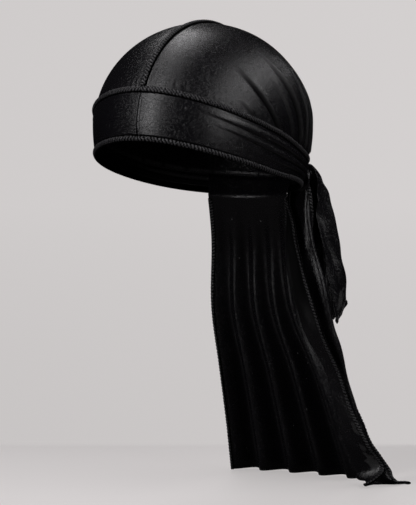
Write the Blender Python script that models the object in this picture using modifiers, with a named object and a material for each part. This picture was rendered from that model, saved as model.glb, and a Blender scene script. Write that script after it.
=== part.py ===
"""A durag in black satin, tied behind the wearer's left ear, kept in the form that it has on a head.

Metres, +Z up. The wearer faces -Y and the wearer's left is +X. The origin is the highest point of the
head hollow, where the crown sits on a head. A bearing is an angle round the head in degrees: 0 at the
brow, growing towards the wearer's left. A level is a height over the head's widest part.
"""

from collections import namedtuple

import bpy
import numpy as np

# Head hollow: an egg form, wider levels below the crown drawn out to LOWER_HEIGHT
HEAD_WIDTH = 0.1544
HEAD_LENGTH = 0.1936
CROWN_HEIGHT = 0.0777
LOWER_HEIGHT = 0.1100

# Cloth walls, the clearance that neighbouring pieces keep, and what the flats of two round walls need
CLOTH_WALL = 0.0010
STRAP_WALL = 0.0012
CLEARANCE = 0.0003
FLATS_EASE = 0.0001
STRAP_SEAT = CLOTH_WALL + CLEARANCE + FLATS_EASE

# Band: its middle line falls from the brow to the nape
BAND_HEIGHT = 0.0358
BROW_LEVEL = 0.0112
NAPE_DROP = 0.0559
DROP_BIAS = 0.354
KNOT_BEARING = 150.0

# Raised seams and hems
RIDGE_WIDTH = 0.0046
RIDGE_ARCH = 0.0012
SEAM_WIDTH = 0.0050
SEAM_ARCH = 0.0011

# Folds of the crown: the brow side of each is steeper, by FOLD_STEEP of its width, and each fades out
# between two shares of its rise
FOLD_HEIGHT = 0.0029
FOLD_WIDTH = 0.0056
FOLD_STEEP = 0.65
FOLD_FADE = (0.45, 1.05)
FOLD_OVERRUN = 1.2
RIGHT_FOLD_SHARE = 0.7

# Lengthwise pleats of the straps: shares of the band's height that stay flat at its edges, of the way
# over which they rise, and of their height that is left at the knot, which pinches them from KNOT_PINCH on
PLEAT_HEIGHT = 0.0019
PLEAT_BORDER = 0.08
PLEAT_RISE = 0.30
PLEAT_AT_KNOT = 0.4
KNOT_PINCH = 0.93

# Knot: half sizes along the band, up and down, and away from the head
KNOT_HALF_LENGTH = 0.0130
KNOT_HALF_HEIGHT = 0.0110
KNOT_HALF_DEPTH = 0.0058
KNOT_RIDGE = 0.0011
KNOT_RIDGES = 4
KNOT_SLANT = 2.4
KNOT_ROUND = 0.96
KNOT_SQUARE = 2.6

# Tie ends and cape
FLOOR_DROP = 0.2920
SHORT_TAIL_LENGTH = 0.1100
SHORT_TAIL_REACH = 0.0270
SHORT_TAIL_WIDTH = 0.0600
SHORT_TAIL_SLANT = 0.0150
LONG_TAIL_REACH = 0.0920
LONG_TAIL_WIDTH = 0.0760
TAIL_LIFT = 3 * CLEARANCE
SLANT_START = 0.4
SLANT_FOLD = 0.69
FOLD_RADIUS = 0.0030
CAPE_HALF_SWEEP = 30.5
CAPE_SPREAD = 0.0700
CAPE_REACH = 0.0600
CAPE_FOLD = 0.0085
CAPE_TUCK = 0.0010
CAPE_EASE = 0.0400
CAPE_FOLDS = 4.5
CAPE_FOLD_PHASE = 3.7
CAPE_FOLD_DRIFT = 0.6

# Facets: bearings of the crown's columns as runs of first, last and count, and rows and columns by side
CROWN_BEARINGS = {
    1: ((0, 44, 6), (49, 156, 22), (163, 180, 3)),
    -1: ((0, 60, 8), (67, 156, 13), (163, 180, 3)),
}
CROWN_ROWS = {1: 13, -1: 12}
STRAP_COLUMNS = {1: 31, -1: 39}
STRAP_ROWS = {1: 10, -1: 8}
SEAM_RINGS = 36
KNOT_RINGS, KNOT_SIDES = 11, 16
TAIL_COLUMNS = 15
SHORT_TAIL_ROWS, LONG_TAIL_ROWS = 19, 25
CAPE_ROWS, CAPE_COLUMNS = 21, 15
PLAN_STEPS = 240


def table(columns, *rows):
    """A short table: its rows, whose columns have names."""
    row_type = namedtuple("Row", columns)
    return [row_type(*row) for row in rows]


# Height of the band as a share of BAND_HEIGHT, by the share of a strap's way to the knot
BAND_LEFT = table(
    "share height",
    (0.00, 1.000),
    (0.33, 0.975),
    (0.43, 0.920),
    (0.53, 0.840),
    (0.67, 0.630),
    (0.84, 0.520),
    (1.00, 0.500),
)
BAND_RIGHT = table(
    "share height",
    (0.00, 1.000),
    (0.25, 0.970),
    (0.46, 0.800),
    (0.67, 0.720),
    (0.86, 0.660),
    (1.00, 0.500),
)

# Folds of the crown: bearing at the band and at the upper end, level of the upper end as a share of
# CROWN_HEIGHT, height and width as shares of FOLD_HEIGHT and FOLD_WIDTH, and how late the fold leans
CROWN_FOLDS = table(
    "foot head head_level height width bend",
    (65.0, 56.0, 0.28, 0.35, 0.60, 1.0),
    (81.0, 57.5, 0.60, 0.80, 0.95, 1.1),
    (93.0, 81.0, 0.48, 0.45, 0.70, 1.3),
    (101.0, 84.0, 0.72, 1.00, 1.00, 1.8),
    (109.0, 112.0, 0.55, 0.80, 0.90, 1.0),
    (122.0, 126.0, 0.62, 0.85, 1.00, 1.0),
    (136.0, 143.0, 0.66, 1.00, 1.05, 1.0),
    (152.0, 160.0, 0.50, 0.75, 1.10, 1.0),
)

# Pleats of the straps: place across the band at the start and once risen (0 at the hem, 1 at the seam),
# share of the way where the pleat starts, height as a share of PLEAT_HEIGHT, width across the band
PLEATS = table(
    "first then start height width",
    (0.84, 0.77, 0.18, 0.85, 0.11),
    (0.60, 0.46, 0.26, 1.00, 0.09),
    (0.26, 0.22, 0.36, 0.80, 0.09),
)

# Tie ends: drop and out as shares of the tail's length and reach, fore as a share of its width, the
# turn of its face from the X axis, the three legs of its folded width as shares of the width, and the
# turns between the legs in degrees
TAIL_STATION = "along drop out fore face leg1 leg2 leg3 turn1 turn2"
SHORT_TAIL = table(
    TAIL_STATION,
    (0.00, 0.000, 0.00, 0.00, -36.0, 0.03, 0.12, 0.04, -30.0, -30.0),
    (0.04, -0.013, 0.07, 0.00, -36.0, 0.04, 0.14, 0.06, -45.0, -40.0),
    (0.09, 0.017, 0.22, 0.00, -36.0, 0.06, 0.17, 0.08, -35.0, -35.0),
    (0.14, 0.079, 0.38, 0.00, -36.0, 0.08, 0.20, 0.12, -45.0, -50.0),
    (0.22, 0.167, 0.49, 0.00, -35.0, 0.12, 0.24, 0.17, -60.0, -65.0),
    (0.36, 0.315, 0.59, 0.00, -33.0, 0.18, 0.29, 0.25, -85.0, -80.0),
    (0.55, 0.510, 0.72, 0.00, -31.0, 0.22, 0.33, 0.28, -90.0, -78.0),
    (0.78, 0.728, 0.87, 0.00, -30.0, 0.24, 0.36, 0.29, -84.0, -70.0),
    (1.00, 1.000, 1.00, 0.00, -30.0, 0.25, 0.38, 0.29, -78.0, -60.0),
)
LONG_TAIL = table(
    TAIL_STATION,
    (0.00, 0.000, 0.011, -0.02, -36.0, 0.04, 0.14, 0.03, -150.0, 40.0),
    (0.08, 0.075, -0.015, 0.07, -26.0, 0.15, 0.18, 0.05, -165.0, 120.0),
    (0.17, 0.165, -0.021, 0.15, -12.0, 0.15, 0.22, 0.09, -168.0, 160.0),
    (0.30, 0.300, 0.011, 0.22, 2.0, 0.21, 0.27, 0.13, -170.0, 165.0),
    (0.45, 0.450, 0.105, 0.28, 10.0, 0.21, 0.25, 0.11, -172.0, 160.0),
    (0.60, 0.605, 0.261, 0.32, 14.0, 0.13, 0.12, 0.09, -172.0, 150.0),
    (0.72, 0.730, 0.357, 0.33, 16.0, 0.15, 0.13, 0.06, -172.0, 120.0),
    (0.84, 0.855, 0.466, 0.34, 18.0, 0.24, 0.17, 0.05, -170.0, 70.0),
    (0.93, 0.950, 0.601, 0.34, 20.0, 0.29, 0.25, 0.05, -160.0, 40.0),
    (0.97, 0.988, 0.613, 0.34, 20.0, 0.24, 0.27, 0.05, -110.0, 15.0),
    (1.00, 1.000, 0.801, 0.34, 20.0, 0.10, 0.18, 0.04, -25.0, 5.0),
)

# Cape: drop from the band to the floor, reach to the back as a share of CAPE_REACH, sideways place as a
# share of CAPE_SPREAD, half width as a share of what the cape covers on the head form, depth of the
# folds as a share of CAPE_FOLD, and how much of the head form's roundness is left in it
CAPE = table(
    "along drop back side half_width fold roundness",
    (0.00, 0.000, 0.00, 0.000, 1.00, 0.10, 1.00),
    (0.15, 0.150, 0.30, -0.098, 0.99, 0.22, 1.00),
    (0.38, 0.400, 0.42, -0.096, 1.11, 0.50, 0.85),
    (0.60, 0.630, 0.60, 0.055, 1.37, 0.85, 0.60),
    (0.80, 0.840, 0.80, 0.147, 1.55, 1.00, 0.50),
    (0.93, 0.975, 0.93, 0.198, 1.67, 1.05, 0.50),
    (1.00, 1.000, 1.00, 0.180, 1.70, 0.90, 0.50),
)

BLACK_SATIN = (0.012, 0.011, 0.013, 1.0)
BLACK_THREAD = (0.018, 0.017, 0.019, 1.0)

HALF_WIDTH = HEAD_WIDTH / 2
HALF_LENGTH = HEAD_LENGTH / 2


def smooth_row(rows, at):
    """A table's row at each value `at` of its first column, by cubic Hermite curves through its rows."""
    numbers = np.array(rows, float)
    place, values = numbers[:, 0], numbers[:, 1:]
    slopes = np.gradient(values, place, axis=0)
    at = np.clip(np.atleast_1d(np.asarray(at, float)), place[0], place[-1])
    row = np.clip(np.searchsorted(place, at, side="right") - 1, 0, len(place) - 2)
    step = (place[row + 1] - place[row])[..., None]
    t = (at - place[row])[..., None] / step
    before = values[row] * (2 * t**3 - 3 * t**2 + 1) + slopes[row] * step * (t**3 - 2 * t**2 + t)
    after = values[row + 1] * (3 * t**2 - 2 * t**3) + slopes[row + 1] * step * (t**3 - t**2)
    return type(rows[0])(at, *np.moveaxis(before + after, -1, 0))


def smooth_step(value, start, end):
    t = np.clip((value - start) / (end - start), 0.0, 1.0)
    return t * t * (3 - 2 * t)


def head_surface(bearing, level, out=0.0):
    """Points `out` metres off the head form, at bearings in degrees and levels in metres."""
    bearing, level, out = np.broadcast_arrays(np.radians(bearing), level, out)
    height = np.where(level > 0, CROWN_HEIGHT, LOWER_HEIGHT)
    ring = np.sqrt(np.maximum(1 - (level / height) ** 2, 0.0))
    point = np.stack(
        [HALF_WIDTH * ring * np.sin(bearing), -HALF_LENGTH * ring * np.cos(bearing), level], axis=-1
    )
    normal = point / np.stack([HALF_WIDTH + 0 * level, HALF_LENGTH + 0 * level, height], axis=-1) ** 2
    normal /= np.linalg.norm(normal, axis=-1, keepdims=True)
    return point + normal * out[..., None]


def level_angle(level):
    """Angle down from the top of the head form to a level."""
    return np.arccos(level / np.where(level > 0, CROWN_HEIGHT, LOWER_HEIGHT))


def band_middle(bearing):
    """Level of the band's middle line, which falls from the brow to the nape."""
    turn = (1 - np.cos(np.radians(bearing))) / 2
    return BROW_LEVEL - NAPE_DROP * turn * (1 - DROP_BIAS * turn) / (1 - DROP_BIAS)


def strap_sweep(side):
    """Angle that a strap goes through from the brow to the knot: side 1 is the left, -1 the right."""
    return KNOT_BEARING if side > 0 else 360.0 - KNOT_BEARING


def band_height(share, side):
    stations = BAND_LEFT if side > 0 else BAND_RIGHT
    return BAND_HEIGHT * smooth_row(stations, share).height


def band_height_at(bearing):
    """Height of the band at bearings from -180 to 360, past the knot on the right strap."""
    bearing = np.atleast_1d(np.asarray(bearing, float))
    left = (bearing >= 0) & (bearing <= KNOT_BEARING)
    turned = np.where(bearing > KNOT_BEARING, bearing - 360.0, bearing)
    return np.where(
        left,
        band_height(np.abs(bearing) / strap_sweep(1), 1),
        band_height(np.abs(turned) / strap_sweep(-1), -1),
    )


def band_top(bearing):
    return band_middle(bearing) + band_height_at(bearing) / 2


def band_bottom(bearing):
    return band_middle(bearing) - band_height_at(bearing) / 2


def strap_shares(side):
    """Shares of the way along a strap, from half a clearance at the brow to half of one at the knot."""
    trim = np.degrees(CLEARANCE / 2 / HALF_WIDTH) / strap_sweep(side)
    return np.linspace(trim, 1 - trim, STRAP_COLUMNS[side])


def knot_frame():
    """The knot's place on the head form, and the directions out of it, forward along the band and up it."""
    foot = head_surface(KNOT_BEARING, band_middle(KNOT_BEARING))
    out = head_surface(KNOT_BEARING, band_middle(KNOT_BEARING), 1.0) - foot
    fore = np.array([out[1], -out[0], 0.0]) / np.hypot(out[0], out[1])
    return foot, out, fore, np.cross(fore, out)


def crown_relief(bearing, level, side):
    """Height of the crown's folds, which stand over the cloth and die out at the seam above the band."""
    seam = band_top(side * bearing)
    ring = np.sqrt(1 - np.clip(level / CROWN_HEIGHT, 0, 1) ** 2)
    relief = np.zeros_like(level)
    for fold in CROWN_FOLDS:
        rise = (level - seam) / (fold.head_level * CROWN_HEIGHT - seam)
        lean = np.clip(rise, 0.0, FOLD_OVERRUN) ** fold.bend
        line = fold.foot + (fold.head - fold.foot) * lean
        apart = np.radians(bearing - line) * HALF_LENGTH * ring
        reach = FOLD_WIDTH * fold.width * np.where(apart < 0, FOLD_STEEP, 1.0)
        ridge = np.exp(-((apart / reach) ** 2)) * (1 - smooth_step(rise, *FOLD_FADE))
        relief += FOLD_HEIGHT * fold.height * ridge
    clear = smooth_step(level, seam + RIDGE_WIDTH, seam + 2 * RIDGE_WIDTH)
    return relief * clear * (1.0 if side > 0 else RIGHT_FOLD_SHARE)


def build_sheet(name, points, wall, material):
    """An open sheet through a grid of points, with its wall added on the side of its normals."""
    rows, columns = points.shape[:2]
    corner = (np.arange(rows - 1)[:, None] * columns + np.arange(columns - 1)).ravel()
    faces = np.stack([corner, corner + 1, corner + columns + 1, corner + columns], axis=1)
    lifted = points.reshape(-1, 3) - np.array([0.0, 0.0, CROWN_HEIGHT])
    mesh = bpy.data.meshes.new(name)
    mesh.from_pydata(lifted.tolist(), [], faces.tolist())
    return finish_piece(name, mesh, wall, material)


def build_tube(name, rings, material):
    """A closed body through a row of rings, with a flat cap on its first and last ring."""
    count, sides = rings.shape[:2]
    start, step = np.arange(count - 1)[:, None] * sides, np.arange(sides)
    after = (step + 1) % sides
    quads = np.stack([start + step, start + after, start + sides + after, start + sides + step], axis=-1)
    caps = [step[::-1].tolist(), (step + (count - 1) * sides).tolist()]
    lifted = rings.reshape(-1, 3) - np.array([0.0, 0.0, CROWN_HEIGHT])
    mesh = bpy.data.meshes.new(name)
    mesh.from_pydata(lifted.tolist(), [], quads.reshape(-1, 4).tolist() + caps)
    return finish_piece(name, mesh, 0.0, material)


def finish_piece(name, mesh, wall, material):
    mesh.materials.append(material)
    mesh.update()
    mesh.shade_smooth()
    piece = bpy.data.objects.new(name, mesh)
    collection.objects.link(piece)
    if wall:
        shell = piece.modifiers.new("Wall", "SOLIDIFY")
        shell.thickness = wall
        shell.offset = 1.0
    return piece


def crown_panel(name, side, material):
    """Half of the cap: a fan of meridians from its top to a rim under the band's middle."""
    bearing = np.concatenate([np.linspace(*run) for run in CROWN_BEARINGS[side]])
    rows, columns = CROWN_ROWS[side], len(bearing)
    edge = band_top(side * bearing) + RIDGE_WIDTH / 2 + CLEARANCE
    share = np.linspace(0.0, 1.0, rows)[1:, None]
    angle = share * level_angle(edge)
    level = np.cos(angle) * np.where(angle < np.pi / 2, CROWN_HEIGHT, LOWER_HEIGHT)
    level = np.concatenate([level, band_middle(bearing)[None]])
    bearing = np.broadcast_to(bearing, level.shape)
    points = head_surface(side * bearing, level, crown_relief(bearing, level, side))
    top = np.array([[0.0, 0.0, CROWN_HEIGHT]])
    shift = np.array([side * CLEARANCE / 2, 0.0, -CROWN_HEIGHT])
    vertices = np.concatenate([top, points.reshape(-1, 3)]) + shift
    corner = 1 + (np.arange(rows - 1)[:, None] * columns + np.arange(columns - 1)).ravel()
    quads = np.stack([corner, corner + columns, corner + columns + 1, corner + 1], axis=1)
    first = 1 + np.arange(columns - 1)
    fan = np.stack([np.zeros_like(first), first, first + 1], axis=1)
    faces = [face[::side] for face in fan.tolist() + quads.tolist()]
    mesh = bpy.data.meshes.new(name)
    mesh.from_pydata(vertices.tolist(), [], faces)
    return finish_piece(name, mesh, CLOTH_WALL, material)


def ridge_section(width, arch):
    """A raised strip's cut across: places across it, and heights over its seat, round a closed ring."""
    across = np.array([1.0, -1.0, -1.0, -0.5, 0.5, 1.0]) * width / 2
    height = STRAP_WALL + arch * np.array([0.0, 0.0, 0.0, 1.0, 1.0, 0.0])
    height[:2] = 0.0
    return across, height


def centre_seam(material):
    """The raised seam over the crown, from the band at the brow to the band at the back."""
    ends = level_angle(band_top([0.0, 180.0]) + RIDGE_WIDTH / 2 + CLEARANCE)
    angle = np.linspace(-ends[0], ends[1], SEAM_RINGS)[:, None]
    across, height = ridge_section(SEAM_WIDTH, SEAM_ARCH)
    level = np.cos(angle) * np.where(np.abs(angle) < np.pi / 2, CROWN_HEIGHT, LOWER_HEIGHT)
    rings = head_surface(np.where(angle < 0, 0.0, 180.0), level, CLOTH_WALL + CLEARANCE + height)
    rings[..., 0] = across
    return build_tube("centre_seam", rings, material)


def strap(name, side, material):
    """Half of the band with its lengthwise pleats, between its seam and its hem."""
    share = strap_shares(side)[None, :]
    across = np.linspace(0.0, 1.0, STRAP_ROWS[side])[:, None]
    bearing = side * strap_sweep(side) * share
    height = band_height(share[0], side) - RIDGE_WIDTH - 2 * CLEARANCE
    level = band_middle(bearing) + (across - 0.5) * height
    relief = np.zeros_like(level)
    pinch = 1 - (1 - PLEAT_AT_KNOT) * smooth_step(share, KNOT_PINCH, 1.0)
    for pleat in PLEATS:
        risen = smooth_step(share, pleat.start, pleat.start + PLEAT_RISE)
        apart = across - pleat.first - (pleat.then - pleat.first) * risen
        relief += PLEAT_HEIGHT * pleat.height * risen * pinch * np.exp(-((apart / pleat.width) ** 2))
    edge = smooth_step(np.minimum(across, 1 - across), PLEAT_BORDER, 4 * PLEAT_BORDER)
    points = head_surface(bearing, level, STRAP_SEAT + relief * edge)
    return build_sheet(name, points if side > 0 else points[:, ::-1], STRAP_WALL, material)


def band_ridge(name, side, place, material):
    """The raised strip along one edge of the band: place 1 is the seam, -1 the hem."""
    share = strap_shares(side)[:, None]
    bearing = side * strap_sweep(side) * share
    middle = band_middle(bearing) + place * band_height(share, side) / 2
    across, height = ridge_section(RIDGE_WIDTH, RIDGE_ARCH)
    rings = head_surface(bearing, middle + across, STRAP_SEAT + height)
    return build_tube(name, rings[::-side], material)


def knot_underside():
    """Distance from the head form to the knot's inner side, which clears the pleats of both straps."""
    return STRAP_SEAT + STRAP_WALL + PLEAT_HEIGHT * PLEAT_AT_KNOT + CLEARANCE


def knot(material):
    """A rounded wrap over the meeting straps, with ridges that run round it on the slant."""
    foot, out, fore, up = knot_frame()
    rings = np.linspace(-1.0, 1.0, KNOT_RINGS)[:, None]
    turn = np.linspace(0.0, 2 * np.pi, KNOT_SIDES, endpoint=False)
    belly = np.sqrt(1 - np.abs(KNOT_ROUND * rings) ** KNOT_SQUARE)
    waves = np.cos(KNOT_RIDGES * turn + KNOT_SLANT * rings)
    ridged = belly * (1 + KNOT_RIDGE / KNOT_HALF_DEPTH * waves * belly)
    along = KNOT_HALF_LENGTH * ridged * np.cos(turn)
    away = knot_underside() + KNOT_HALF_DEPTH * (1 + np.maximum(ridged * np.sin(turn), -1.0))
    rise = KNOT_HALF_HEIGHT * rings + 0 * turn
    body = foot + along[..., None] * fore + away[..., None] * out + rise[..., None] * up
    return build_tube("knot", body, material)


def folded_plan(legs, turns, columns):
    """Plan of a width folded into three legs with rounded turns between them, centred on its middle.

    The direction along the width is the sum of two smooth steps of the given turns, each spread over
    the arc that FOLD_RADIUS needs, and the plan is that direction's running sum.
    """
    bends = np.abs(np.radians(turns)) * FOLD_RADIUS
    lengths = np.stack([legs[0], bends[0], legs[1], bends[1], legs[2]])
    marks = np.concatenate([np.zeros((1, lengths.shape[1])), np.cumsum(lengths, axis=0)])
    fine = np.linspace(0.0, 1.0, PLAN_STEPS + 1)[:, None] * marks[-1]
    first = np.radians(turns[0]) * smooth_step(fine, marks[1], marks[2] + 1e-9)
    second = np.radians(turns[1]) * smooth_step(fine, marks[3], marks[4] + 1e-9)
    heading = first + second - np.radians(turns[0])
    step = np.diff(fine, axis=0)
    middle = (heading[1:] + heading[:-1]) / 2
    start = np.zeros((1, lengths.shape[1]))
    x = np.concatenate([start, np.cumsum(np.cos(middle) * step, axis=0)])
    y = np.concatenate([start, np.cumsum(np.sin(middle) * step, axis=0)])
    pick = np.linspace(0, PLAN_STEPS, columns).round().astype(int)
    return (x - x.mean(axis=0))[pick], (y - y.mean(axis=0))[pick]


def tail(name, stations, count, root, length, reach, width, slant, material):
    """A tie end: its table's stations run down and away from the root, each a folded width."""
    at = smooth_row(stations, np.linspace(0.0, 1.0, count))
    legs, turns = np.stack([at.leg1, at.leg2, at.leg3]) * width, np.stack([at.turn1, at.turn2])
    x, y = folded_plan(legs, turns, TAIL_COLUMNS)
    ahead = knot_frame()[2]
    away = np.array([-ahead[1], ahead[0], 0.0])
    face = np.radians(at.face)
    across = np.stack([np.cos(face), np.sin(face), 0 * face], axis=-1)
    deep = np.stack([-across[:, 1], across[:, 0], 0 * face], axis=-1)
    points = root + at.out[:, None] * reach * away + at.fore[:, None] * width * ahead
    points = points - at.drop[:, None] * length * np.array([0.0, 0.0, 1.0])
    sheet = points[None] + x[..., None] * across + y[..., None] * deep
    share = np.linspace(0.0, 1.0, TAIL_COLUMNS)[:, None]
    lean = np.minimum(np.abs(share - SLANT_FOLD) / (1.0 - SLANT_FOLD), 1.0) * smooth_step(at.along, SLANT_START, 1.0)
    sheet[..., 2] -= slant * lean
    return build_sheet(name, sheet, CLOTH_WALL, material)


def tail_root(place):
    """Where a tie end leaves the knot: place 1 is over it, -1 under it."""
    foot, out, _, up = knot_frame()
    return foot + (knot_underside() + KNOT_HALF_DEPTH) * out + place * (KNOT_HALF_HEIGHT + TAIL_LIFT) * up


def tie_tails(material):
    """The short end, which arcs over the knot, and the long end, which reaches the floor."""
    over, under = tail_root(1), tail_root(-1)
    tail(
        "tie_tail_short", SHORT_TAIL, SHORT_TAIL_ROWS, over, SHORT_TAIL_LENGTH, SHORT_TAIL_REACH,
        SHORT_TAIL_WIDTH, SHORT_TAIL_SLANT, material,
    )
    to_floor = FLOOR_DROP + under[2] - CLOTH_WALL
    tail(
        "tie_tail_long", LONG_TAIL, LONG_TAIL_ROWS, under, to_floor, LONG_TAIL_REACH,
        LONG_TAIL_WIDTH, 0.0, material,
    )


def cape(material):
    """The flap behind the neck: hung from under the band, folded like a curtain, splayed at the floor."""
    at = smooth_row(CAPE, np.concatenate([[0.0, 0.0], np.linspace(0.0, 1.0, CAPE_COLUMNS)]))
    across = np.linspace(-1.0, 1.0, CAPE_ROWS)[:, None]
    bearing = 180.0 - CAPE_HALF_SWEEP * across
    release = band_bottom(bearing) - RIDGE_WIDTH
    level = release + (CLOTH_WALL - FLOOR_DROP - release) * at.drop
    level[:, 0:1] = band_middle(bearing) - CAPE_TUCK
    level[:, 1:2] = (level[:, 0:1] + release) / 2
    held = head_surface(bearing, np.maximum(level, release))
    nape = head_surface(180.0, release.min())
    hung = smooth_step(release - level, 0.0, CAPE_EASE)
    wave = hung * np.cos(np.pi * CAPE_FOLDS * across + CAPE_FOLD_PHASE + CAPE_FOLD_DRIFT * at.along)
    x = held[..., 0] * at.half_width + at.side * CAPE_SPREAD
    y = nape[1] + (held[..., 1] - nape[1]) * at.roundness + at.back * CAPE_REACH + wave * at.fold * CAPE_FOLD
    sheet = np.stack([x, y, level + 0 * wave], axis=-1)
    return build_sheet("cape", sheet[::-1], CLOTH_WALL, material)


def make_material(name, colour, roughness):
    material = bpy.data.materials.new(name)
    material.use_nodes = True
    shader = material.node_tree.nodes["Principled BSDF"]
    shader.inputs["Base Color"].default_value = colour
    shader.inputs["Roughness"].default_value = roughness
    shader.inputs["Metallic"].default_value = 0.0
    return material


def build():
    satin = make_material("black_satin", BLACK_SATIN, 0.38)
    thread = make_material("black_thread", BLACK_THREAD, 0.60)
    centre_seam(thread)
    for side, word in ((1, "left"), (-1, "right")):
        crown_panel("crown_" + word, side, satin)
        strap("brow_strap_" + word, side, satin)
        band_ridge("band_seam_" + word, side, 1, thread)
        band_ridge("band_hem_" + word, side, -1, thread)
    knot(satin)
    tie_tails(satin)
    cape(satin)


for leftover in list(bpy.data.objects):
    bpy.data.objects.remove(leftover, do_unlink=True)
collection = bpy.data.collections.new("durag")
bpy.context.scene.collection.children.link(collection)
build()
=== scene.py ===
"""The looks of a black satin durag, tied behind the wearer's left ear and kept in its worn form.

Metres, +Z up. The wearer faces -Y and the wearer's left is +X. The frame's origin is the highest point
of the head hollow. The functions here work over the hollow, whose own zero is its widest level: a
bearing is an angle round it in degrees, 0 at the brow and growing towards the wearer's left, and a level
is a height over the widest level. The finished points are lowered by CROWN_HEIGHT at the end.
"""

from collections import namedtuple

import bpy
import numpy as np
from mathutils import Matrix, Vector


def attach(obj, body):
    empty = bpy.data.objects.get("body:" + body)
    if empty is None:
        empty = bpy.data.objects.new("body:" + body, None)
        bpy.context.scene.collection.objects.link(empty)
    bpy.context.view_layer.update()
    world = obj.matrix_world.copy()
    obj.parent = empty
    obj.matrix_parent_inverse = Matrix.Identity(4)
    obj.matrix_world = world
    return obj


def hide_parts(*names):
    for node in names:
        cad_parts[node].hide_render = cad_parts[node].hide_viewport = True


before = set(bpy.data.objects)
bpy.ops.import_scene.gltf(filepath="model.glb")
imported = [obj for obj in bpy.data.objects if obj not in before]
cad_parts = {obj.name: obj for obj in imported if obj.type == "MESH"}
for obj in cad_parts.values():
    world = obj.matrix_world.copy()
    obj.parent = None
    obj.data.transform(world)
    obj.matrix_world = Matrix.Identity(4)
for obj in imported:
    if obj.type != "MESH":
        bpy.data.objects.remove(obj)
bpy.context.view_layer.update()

# Head hollow
HEAD_WIDTH = 0.1544
HEAD_LENGTH = 0.1936
CROWN_HEIGHT = 0.0777
LOWER_HEIGHT = 0.1100
HALF_WIDTH = HEAD_WIDTH / 2
HALF_LENGTH = HEAD_LENGTH / 2

# Cloth walls and clearances
CLOTH_WALL = 0.0010
STRAP_WALL = 0.0012
TAIL_WALL = 0.0007
CLEARANCE = 0.0003
FLATS_EASE = 0.0001
STRAP_SEAT = CLOTH_WALL + CLEARANCE + FLATS_EASE

# Band
BAND_HEIGHT = 0.0358
BROW_LEVEL = 0.0112
NAPE_DROP = 0.0559
DROP_BIAS = 0.354
KNOT_BEARING = 150.0

# Raised seams and hems
RIDGE_WIDTH = 0.0046
RIDGE_ARCH = 0.0012
SEAM_WIDTH = 0.0050
SEAM_ARCH = 0.0011
HEM_WIDTH = 0.0037
HEM_HEIGHT = 0.0021
HEM_INSET = 0.35

# Stitches over them: a bar ends between two sines of the angle round the ridge, shade is painted between
# two bars and down the ridge's sides, cleared by the bar's own height there, and a slant is in pitches
# from the middle to an edge
STITCH_PITCH = 0.0027
STITCH_DEPTH = 0.00095
STITCH_WOBBLE = 0.0004
STITCH_WANDER = 0.0070
STITCH_MIDDLE = 0.6
STITCH_EDGE = (0.50, 0.80)
STITCH_GAP = (0.35, 0.95)
SEAM_SLANT = 0.9
HEM_SLANT = 0.35
CENTRE_SLANT = 0.5
EDGE_SLANT = 0.3

# Folds of the crown
FOLD_HEIGHT = 0.0029
FOLD_WIDTH = 0.0056
FOLD_STEEP = 0.35
FOLD_FADE = (0.45, 1.05)
FOLD_OVERRUN = 1.2
FOLD_START = (0.5, 1.4)
FOLD_GROOVE = 0.56
GROOVE_DEPTH = 0.0018
GROOVE_WIDTH = 0.0020
GROOVE_SHADE = 1.3
RIGHT_FOLD_SHARE = 0.7
PUCKER_HEIGHT = 0.00030
PUCKER_SIZE = 0.0060
PUCKER_REACH = 0.0045

# Pleats of the straps
PLEAT_HEIGHT = 0.0019
PLEAT_STEEP = 0.28
# The next two place the shade painted along a pleat's foot: how far off the pleat, in its steep widths, and
# how wide, as a share across the band
PLEAT_FOOT = 1.6
PLEAT_SHADE_WIDTH = 0.016
PLEAT_BORDER = 0.05
PLEAT_RISE = 0.30
PLEAT_AT_KNOT = 0.4
KNOT_PINCH = 0.93
LIP_HEIGHT = 0.0006
LIP_WIDTH = 0.0034

# Knot
KNOT_HALF_LENGTH = 0.0130
KNOT_HALF_HEIGHT = 0.0110
KNOT_HALF_DEPTH = 0.0058
KNOT_RIDGE = 0.0011
KNOT_RIDGES = 4
KNOT_FINE_RIDGES = 6
KNOT_FINE_SHARE = 0.35
KNOT_FINE_TURN = 0.7
KNOT_SLANT = 2.4
KNOT_ROUND = 0.96
KNOT_SQUARE = 2.6

# Tie ends and cape. A crease has a height, a size across and how far it is drawn out
FLOOR_DROP = 0.2920
SHORT_TAIL_LENGTH = 0.1100
SHORT_TAIL_REACH = 0.0270
SHORT_TAIL_WIDTH = 0.0600
SHORT_TAIL_SLANT = 0.0150
LONG_TAIL_REACH = 0.0920
LONG_TAIL_WIDTH = 0.0760
TAIL_LIFT = 3 * CLEARANCE
TAIL_TUCK = 0.009
TAIL_TUCK_REACH = 0.014
SHORT_CREASE = (0.0011, 0.012, 4.0)
LONG_CREASE = (0.0010, 0.014, 5.0)
CREASE_EASE = 0.0300
# Painted shade on the long end near the knot: its depth, and where it fades out across and along
FRONT_SHADE = 0.75
FRONT_SHADE_ACROSS = (0.22, 0.32)
FRONT_SHADE_ALONG = (0.32, 0.50)
# The next three shape the patches where light shining through the cloth is painted
SHINE_THROUGH_RAGGED = 0.0060
SHINE_THROUGH_RAGGED_SHARE = 0.5
SHINE_THROUGH_EDGE = (0.5, 1.1)
SLANT_START = 0.4
SLANT_FOLD = 0.69
FOLD_RADIUS = 0.0030
CAPE_HALF_SWEEP = 32.5
CAPE_SPREAD = 0.0700
CAPE_REACH = 0.0600
CAPE_FOLD = 0.0085
CAPE_TUCK = 0.0010
CAPE_EASE = 0.0400
CAPE_FOLDS = 4.5
CAPE_FOLD_PHASE = 3.7
CAPE_FOLD_DRIFT = 0.6

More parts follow.
